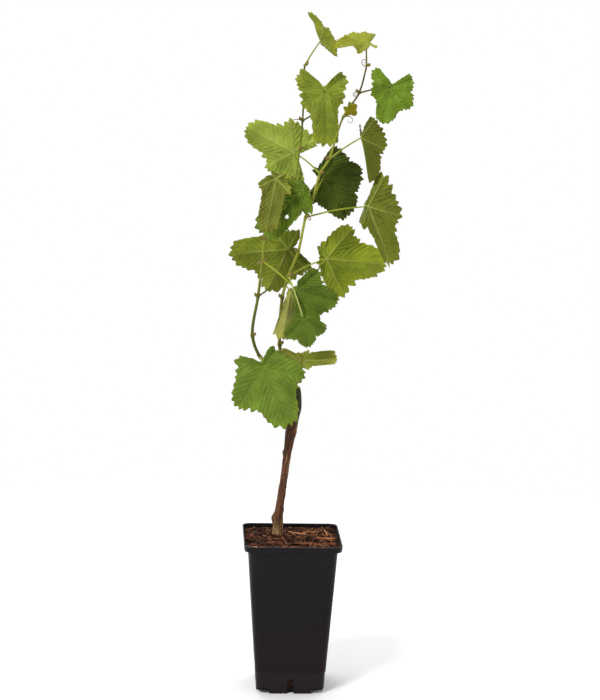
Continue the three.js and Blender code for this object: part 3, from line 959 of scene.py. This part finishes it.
def tendril_points(start, chance):
    """A thin arm that leaves its node sideways and curls tighter towards its end."""
    length, turns = chance.uniform(*TENDRIL["length"]), chance.uniform(*TENDRIL["turns"])
    heading, bend = chance.choice((0.3, 2.8)), chance.choice((-1, 1))
    step = length / TENDRIL["points"]
    points = [Vector(start)]
    for index in range(TENDRIL["points"]):
        share = index / TENDRIL["points"]
        heading += bend * turns * FULL_TURN * share / TENDRIL["points"] * 2
        points.append(points[-1] + Vector((math.cos(heading), -0.25, math.sin(heading))) * step)
    return points


def make_buds(chance):
    """A pointed bud at each node of the shoots, with a few overlapping scales."""
    work = bmesh.new()
    colour = work.verts.layers.float_color.new("tone")
    wrap = work.loops.layers.uv.new("wrap")
    for index, node in enumerate(node for nodes in SHOOTS.values() for node in nodes[1:]):
        side = -1 if index % 2 else 1
        way = Vector((0.6 * side, -0.4, 1))
        place = Vector(node) + Vector((side, -1, 0.6)) * BUD["offset"] * 0.6
        length, width = chance.uniform(*BUD["length"]), chance.uniform(*BUD["width"])
        made = bmesh.ops.create_uvsphere(work, u_segments=16, v_segments=14, radius=1)
        turned = Vector((0, 0, 1)).rotation_difference(way).to_matrix()
        base = paint(*BUD["tone"]) * chance.uniform(0.75, 1.15)
        tip = base * 0.55
        phase = chance.uniform(0, FULL_TURN)
        for vert in made["verts"]:
            up = (vert.co.z + 1) / 2
            turn = math.atan2(vert.co.y, vert.co.x)
            lobe = 1 + 0.16 * abs(math.sin(turn + phase + up * 1.8)) ** 3
            bulge = math.sin(math.pi * up ** 0.7) ** 0.8 if 0 < up < 1 else 0
            girth = bulge * width * lobe
            rise = (up - 0.12) * length
            flat = Vector((math.cos(turn) * girth, math.sin(turn) * girth, rise))
            vert.co = metres(place) + turned @ flat * MM
            vert[colour] = (*mix(base, tip, ease(0.4, 1, up)), 1)
        for face in {f for vert in made["verts"] for f in vert.link_faces}:
            for loop in face.loops:
                loop[wrap].uv = (loop.vert.co.x * 100, loop.vert.co.z * 10)
    bmesh.ops.remove_doubles(work, verts=work.verts, dist=1e-6)
    bmesh.ops.recalc_face_normals(work, faces=work.faces)
    return belongs(finish_mesh(work, "buds", [STEM]), "shoot")


def make_tendrils(chance):
    def radius(share, turn, centre):
        return mix(TENDRIL["thick"], TENDRIL["thin"], share) * MM * rounded_end(share, 0, 0.03)

    def tone(share, turn, centre):
        return mix(paint(*TENDRIL["foot"]), paint(*TENDRIL["tip"]), share)

    for side, node in TENDRIL_NODES:
        points = [metres(p) for p in tendril_points(SHOOTS[side][node], chance)]
        name = f"tendril_{side}_{node}"
        belongs(limb(name, points, radius, *LIMB_MESH["tendril"], STEM, tone), "shoot")


# ----------------------------------------------------------------------- soil

def wall_half(height):
    """Half the outer width of the pot's wall at a height, in millimetres."""
    return mix(POT["base"], POT["top"], height / (POT["height"] - POT["lip"])) / 2


def inner_half(height):
    """Half the clear width inside the pot's wall at a height, in millimetres."""
    return wall_half(height) - POT["wall"] - POT["gap"]


def inside_corner(x, y, half, corner):
    """Pulls a point of a square into its rounded corners."""
    inner = half - corner
    over = Vector((max(abs(x) - inner, 0), max(abs(y) - inner, 0)))
    if over.length > corner:
        over *= corner / over.length
        x = math.copysign(inner + over.x, x)
        y = math.copysign(inner + over.y, y)
    return x, y


def soil_height(x, y):
    """Height of the soil surface, in millimetres."""
    place = Vector((x, y, 0))
    swell = 1.1 * noise.noise(place * 0.035) + 1.1 * noise.noise(place * 0.11)
    crumbs = 0.9 * noise.noise(place * 0.33) + 0.4 * noise.noise(place * 0.9)
    foot = Vector((x - CANE["points"][0][0], y - CANE["points"][0][1])).length
    return SOIL_TOP - 0.6 + swell + crumbs + 1.2 * math.exp(-(foot / 14) ** 2)


def make_soil():
    """A bumpy surface, then a skirt down inside the rim and the wall, and a flat base."""
    work = bmesh.new()
    half = SOIL_HALF
    bmesh.ops.create_grid(work, x_segments=SOIL_CELLS, y_segments=SOIL_CELLS, size=half)
    for vert in work.verts:
        x, y = inside_corner(vert.co.x, vert.co.y, half, POT["corner"] - POT["wall"])
        vert.co = (x, y, soil_height(x, y))
    ledge, low = POT["height"] - POT["lip"], POT["foot_height"] + POT["floor"] + 0.3
    for width, height in ((half, ledge + 1.9), (inner_half(ledge), ledge + 1.9), (inner_half(low), low)):
        border = [edge for edge in work.edges if edge.is_boundary]
        skirt = bmesh.ops.extrude_edge_only(work, edges=border)["geom"]
        verts = [v for v in skirt if isinstance(v, bmesh.types.BMVert)]
        shrink = width / half
        for vert in verts:
            vert.co = (vert.co.x * shrink, vert.co.y * shrink, height)
        half = width
    bmesh.ops.holes_fill(work, edges=[e for e in work.edges if e.is_boundary], sides=0)
    bmesh.ops.scale(work, vec=(MM, MM, MM), verts=work.verts)
    bmesh.ops.recalc_face_normals(work, faces=work.faces)
    return belongs(finish_mesh(work, "soil_bed", [SOIL]), "soil", "soil")


def unlaid(work):
    """The points of the piece now being made: the ones not yet laid in their place."""
    laid = work.verts.layers.int["laid"]
    return [vert for vert in work.verts if not vert[laid]]


def soil_spot(chance, margin, zone):
    """A random place on the soil, clear of the wall and of the cane."""
    half = SOIL_HALF - margin
    foot = Vector(CANE["points"][0][:2])
    left, right, front, back = zone
    while True:
        x = chance.uniform(max(left, -half), min(right, half))
        y = chance.uniform(max(front, -half), min(back, half))
        if (Vector((x, y)) - foot).length > 7 + margin / 3:
            return inside_corner(x, y, half, POT["corner"])


def scatter(name, material, count, build, shade, margin, chance, zone=(-60, 60, -60, 60), lift=0.4):
    """Many small pieces on the soil, joined in one mesh. The zone is left, right, front, back."""
    work = bmesh.new()
    work.verts.layers.int.new("laid")
    colour = work.verts.layers.float_color.new("tone")
    laid = work.verts.layers.int["laid"]
    for _ in range(count):
        made = build(work, chance)
        x, y = soil_spot(chance, margin, zone)
        turn = Matrix.Rotation(chance.uniform(0, FULL_TURN), 3, "Z")
        over_x, over_y = (Matrix.Rotation(chance.gauss(0, 0.14), 3, axis) for axis in "XY")
        turned = turn @ (over_x @ over_y)
        tone = shade(chance) * (1 + 1.1 * noise.noise(Vector((x, y, 9)) * 0.055))
        for vert in made:
            vert.co = (turned @ vert.co + Vector((x, y, soil_height(x, y) + lift))) * MM
            vert[colour] = (*tone, 1)
            vert[laid] = 1
    work.verts.layers.int.remove(laid)
    bmesh.ops.recalc_face_normals(work, faces=work.faces)
    return belongs(finish_mesh(work, name, [material]), "soil")


def crumb(work, chance):
    made = bmesh.ops.create_icosphere(work, subdivisions=1, radius=1)["verts"]
    size = chance.uniform(0.4, 1.1) + chance.random() ** 6 * 2.0
    squash = Vector((chance.uniform(0.7, 1.3), chance.uniform(0.7, 1.3), chance.uniform(0.5, 0.9)))
    for vert in made:
        jitter = 1 + chance.uniform(-0.22, 0.22)
        vert.co = Vector(a * b for a, b in zip(vert.co, squash)) * size * jitter
    return made


def chip(work, chance):
    made = bmesh.ops.create_cube(work, size=1)["verts"]
    edges = list({edge for vert in made for edge in vert.link_edges})
    bmesh.ops.subdivide_edges(work, edges=edges, cuts=1, use_grid_fill=True)
    made = unlaid(work)
    length, width, thick = chance.uniform(3, 11), chance.uniform(1.2, 4.0), chance.uniform(0.6, 1.6)
    curl, seed = chance.uniform(-0.5, 0.5), chance.uniform(0, 50)
    for vert in made:
        taper = 1 - 0.45 * abs(vert.co.x) * 2
        flat = Vector((vert.co.x * length, vert.co.y * width * taper, vert.co.z * thick))
        flat.z += curl * (vert.co.x * 2) ** 2
        flat += noise.noise_vector(flat * 0.7 + Vector((seed, 0, 0))) * 0.5
        vert.co = flat
    return made


def straw(work, chance):
    made = bmesh.ops.create_cone(work, cap_ends=True, segments=5, radius1=1, radius2=0.6, depth=1)["verts"]
    edges = [e for e in {e for v in made for e in v.link_edges}
             if abs(e.verts[0].co.z - e.verts[1].co.z) > 0.5]
    bmesh.ops.subdivide_edges(work, edges=edges, cuts=7, use_grid_fill=True)
    made = unlaid(work)
    length, thick = chance.uniform(9, 26), chance.uniform(0.25, 0.55)
    curl, sway = chance.uniform(-1.2, 1.2), chance.uniform(0, 1.2)
    for vert in made:
        along = vert.co.z * 2
        vert.co = (vert.co.z * length, vert.co.x * thick + curl * along * along,
                   vert.co.y * thick + sway * along * along * (along > 0) + 0.5)
    return made


def ring_chip():
    """One curled piece of fibre, a small ring that lies on the soil."""
    work = bmesh.new()
    colour = work.verts.layers.float_color.new("tone")
    x, y = FIBRE_RING["place"]
    middle = Vector((x, y, soil_height(x, y) + FIBRE_RING["lift"]))
    made = bmesh.ops.create_circle(work, segments=8, radius=FIBRE_RING["fibre"])
    bmesh.ops.rotate(work, verts=made["verts"], matrix=Matrix.Rotation(math.pi / 2, 3, "X"))
    bmesh.ops.translate(work, verts=made["verts"], vec=(FIBRE_RING["radius"], 0, 0))
    bmesh.ops.spin(work, geom=work.verts[:] + work.edges[:], cent=(0, 0, 0), axis=(0, 0, 1),
                   dvec=(0, 0, 0), angle=FULL_TURN, steps=24, use_merge=True)
    for vert in work.verts:
        vert[colour] = (1.1, 1.1, 1.1, 1)
        vert.co = (vert.co + middle) * MM
    bmesh.ops.recalc_face_normals(work, faces=work.faces)
    belongs(finish_mesh(work, "ring_of_fibre", [STRAW]), "soil")


def make_ground_cover(chance):
    def grey(low, high):
        return lambda c: Vector((1, 1, 1)) * c.uniform(low, high)

    scatter("soil_crumbs", PEAT, 1900, crumb, grey(0.2, 1.5), 2.5, chance)
    scatter("bark_chips", CHIP, 130, chip, grey(0.15, 0.8), 5, chance, lift=1.0)
    scatter("front_chips", CHIP, 40, chip, grey(0.5, 1.3), 5, chance, (0, 60, -56, 0), 1.5)
    scatter("side_chips", CHIP, 16, chip, grey(0.5, 1.1), 5, chance, (-56, -20, -50, 30), 1.4)
    scatter("straw_fibres", STRAW, 12, straw, grey(0.4, 0.8), 8, chance, lift=1.8)
    scatter("side_straw", STRAW, 34, straw, grey(0.5, 1.1), 8, chance, (0, 60, -56, 45), 2.0)
    ring_chip()


# ------------------------------------------------------------------------ pot

def rounded_ring(work, half, corner, height):
    """A flat face with round corners, to start a shell from."""
    made = bmesh.ops.create_grid(work, x_segments=1, y_segments=1, size=half)
    bmesh.ops.bevel(work, geom=made["verts"], offset=corner, offset_type="OFFSET", segments=8,
                    profile=0.5, affect="VERTICES", material=-1)
    bmesh.ops.translate(work, vec=(0, 0, height), verts=work.verts)


def make_pot():
    """One shell, grown ring by ring up its outside, over the rim and down its inside."""
    rim, top = POT["rim"] / 2, POT["height"]
    band, lip, wall = POT["band"], POT["height"] - POT["lip"], POT["wall"]
    floor = POT["foot_height"] + POT["floor"]
    stages = [  # half width and height, up the outside and down the inside
        (wall_half(0) - 0.35, 0.3), (wall_half(0), 1.2), (wall_half(band) - 0.75, band - 1.2),
        (wall_half(band) - 0.1, band - 0.3), (wall_half(band), band + 0.4),
        (wall_half(band + 3), band + 3), (wall_half(80), 80), (wall_half(130), 130),
        (wall_half(lip) - 0.3, lip - 1.2), (wall_half(lip) + 0.2, lip - 0.3),
        (rim - 2.2, lip), (rim - 1.3, lip + 0.4), (rim - 0.9, lip + 1.2), (rim - 0.15, top - 1.6),
        (rim - 0.1, top - 0.7), (rim - 0.35, top - 0.15), (rim - 0.8, top), (rim - 1.3, top - 0.15),
        (rim - 1.6, top - 0.7), (rim - wall - 0.3, lip + 2.6), (rim - wall - 1.1, lip + wall),
        (wall_half(lip) - wall + 0.4, lip + wall), (wall_half(lip) - wall, lip + 1),
        (wall_half(140) - wall, 140), (wall_half(60) - wall, 60), (wall_half(floor) - wall, floor),
    ]
    work = bmesh.new()
    half, level = wall_half(0) - 0.9, 0
    rounded_ring(work, half, POT["corner"] * POT["base"] / POT["top"], 0)
    upper = list(work.faces)
    bmesh.ops.duplicate(work, geom=upper)
    for width, height in stages:
        grown = bmesh.ops.extrude_face_region(work, geom=upper)["geom"]
        bmesh.ops.delete(work, geom=upper, context="FACES_ONLY")
        upper = [g for g in grown if isinstance(g, bmesh.types.BMFace)]
        verts = list({v for f in upper for v in f.verts})
        bmesh.ops.scale(work, vec=(width / half, width / half, 1), verts=verts)
        bmesh.ops.translate(work, vec=(0, 0, height - level), verts=verts)
        half, level = width, height
    bmesh.ops.remove_doubles(work, verts=work.verts, dist=1e-4)
    bmesh.ops.recalc_face_normals(work, faces=work.faces)
    bmesh.ops.scale(work, vec=(MM, MM, MM), verts=work.verts)
    pot = finish_mesh(work, "nursery_pot", [PLASTIC])
    cut_away(pot, base_cutter())
    return belongs(pot, "pot", "pot")


def base_cutter():
    """Blocks that raise the corners of the base, and a slot with a round top in each side."""
    work = bmesh.new()
    laid = work.verts.layers.int.new("laid")
    foot, raised = POT["foot"] / 2, POT["foot_height"]
    reach, lean, below, slot_depth = POT["rim"] / 2, 1.2, 5, 12
    radius, top = POT["slot_width"] / 2, POT["slot_top"]
    for right, back in ((1, 1), (1, -1), (-1, 1), (-1, -1)):
        for vert in bmesh.ops.create_cube(work, size=1)["verts"]:
            inner = foot + (lean if vert.co.z > 0 else 0)
            x = inner if vert.co.x < 0 else reach
            y = inner if vert.co.y < 0 else reach
            vert.co = (x * right, y * back, raised if vert.co.z > 0 else -below)
            vert[laid] = 1
    for side in range(4):
        made = bmesh.ops.create_cube(work, size=1)["verts"]
        bmesh.ops.scale(work, vec=(2 * radius, slot_depth, top + below), verts=made)
        bmesh.ops.translate(work, vec=(0, -POT["base"] / 2, (top - below) / 2), verts=made)
        tops = [e for e in {e for v in made for e in v.link_edges}
                if all(v.co.z > 0 for v in e.verts) and abs(e.verts[0].co.y - e.verts[1].co.y) > 1]
        bmesh.ops.bevel(work, geom=tops, offset=radius * 0.98, offset_type="OFFSET", segments=8,
                        profile=0.5, affect="EDGES", material=-1)
        made = unlaid(work)
        bmesh.ops.rotate(work, matrix=Matrix.Rotation(side * math.pi / 2, 3, "Z"), verts=made)
        for vert in made:
            vert[laid] = 1
    work.verts.layers.int.remove(laid)
    bmesh.ops.recalc_face_normals(work, faces=work.faces)
    bmesh.ops.scale(work, vec=(MM, MM, MM), verts=work.verts)
    return finish_mesh(work, "base_cutter", [])


def cut_away(piece, cutter):
    """Cuts the cutter out of a piece and leaves a plain mesh with crisp edges."""
    cut = piece.modifiers.new("cut", "BOOLEAN")
    cut.operation = "DIFFERENCE"
    cut.solver = "EXACT"
    cut.object = cutter
    bpy.context.view_layer.update()
    done = bpy.data.meshes.new_from_object(piece.evaluated_get(bpy.context.evaluated_depsgraph_get()))
    piece.modifiers.clear()
    piece.data = done
    bpy.data.objects.remove(cutter)
    done.set_sharp_from_angle(angle=math.radians(35))


# ------------------------------------------------------------- floor and light

def make_floor():
    work = bmesh.new()
    bmesh.ops.create_circle(work, cap_ends=True, segments=96, radius=1.15)
    finish_mesh(work, "studio_floor", [pale_floor()], smooth=False)


def soft_light(name, place, size, power):
    lamp = bpy.data.lights.new(name, "AREA")
    lamp.shape = "DISK"
    lamp.size = size
    lamp.energy = power
    holder = bpy.data.objects.new(name, lamp)
    holder.location = place
    aim = Vector(PLANT_MIDDLE) - Vector(place)
    holder.rotation_euler = aim.to_track_quat("-Z", "Y").to_euler()
    bpy.context.scene.collection.objects.link(holder)


def make_lights():
    for name, (place, size, power) in LIGHTS.items():
        soft_light(name, place, size, power)
    world = bpy.data.worlds.new("white studio")
    world.use_nodes = True
    tree = world.node_tree
    backdrop = tree.nodes["Background"]
    backdrop.inputs["Color"].default_value = (1, 1, 1, 1)
    way = add(tree, "ShaderNodeSeparateXYZ", {0: add(tree, "ShaderNodeTexCoord").outputs["Generated"]})
    tree.links.new(spread(tree, way.outputs[1], -0.5, 0.5, 0.22, 1.0), backdrop.inputs["Strength"])
    bpy.context.scene.world = world


CAMERA = {
    "place": (-0.11824, -2.45513, 0.82593), "heading": 2.882, "pitch": 9.345, "roll": 1.217,
    "lens": 105.43, "sensor": 36,
}


def make_camera():
    heading, pitch, roll = (math.radians(CAMERA[k]) for k in ("heading", "pitch", "roll"))
    ahead = Vector((math.sin(heading) * math.cos(pitch), math.cos(heading) * math.cos(pitch),
                    -math.sin(pitch)))
    level = Vector((math.cos(heading), -math.sin(heading), 0))
    above = level.cross(ahead)
    right = level * math.cos(roll) + above * math.sin(roll)
    up = above * math.cos(roll) - level * math.sin(roll)
    view = bpy.data.cameras.new("front camera")
    view.lens = CAMERA["lens"]
    view.sensor_width = CAMERA["sensor"]
    holder = bpy.data.objects.new("front camera", view)
    turn = Matrix((right, up, -ahead)).transposed().to_4x4()
    holder.matrix_world = Matrix.Translation(CAMERA["place"]) @ turn
    bpy.context.scene.collection.objects.link(holder)
    bpy.context.scene.camera = holder


# ------------------------------------------------------------------- assembly

make_camera()
make_pot()
make_soil()
make_ground_cover(random.Random(11))
make_cane()
make_peeling_bark(random.Random(5))
for side in SHOOTS:
    make_shoot(side, random.Random(len(side)))
for order, (leaf_name, leaf_row) in enumerate(LEAVES.items(), 1):
    make_leaf(leaf_name, leaf_row, order)
    if "from" in leaf_row:
        make_stalk(leaf_name, leaf_row, random.Random(order))
make_buds(random.Random(3))
make_tendrils(random.Random(12))
make_floor()
make_lights()
bpy.context.scene.view_settings.view_transform = "Standard"
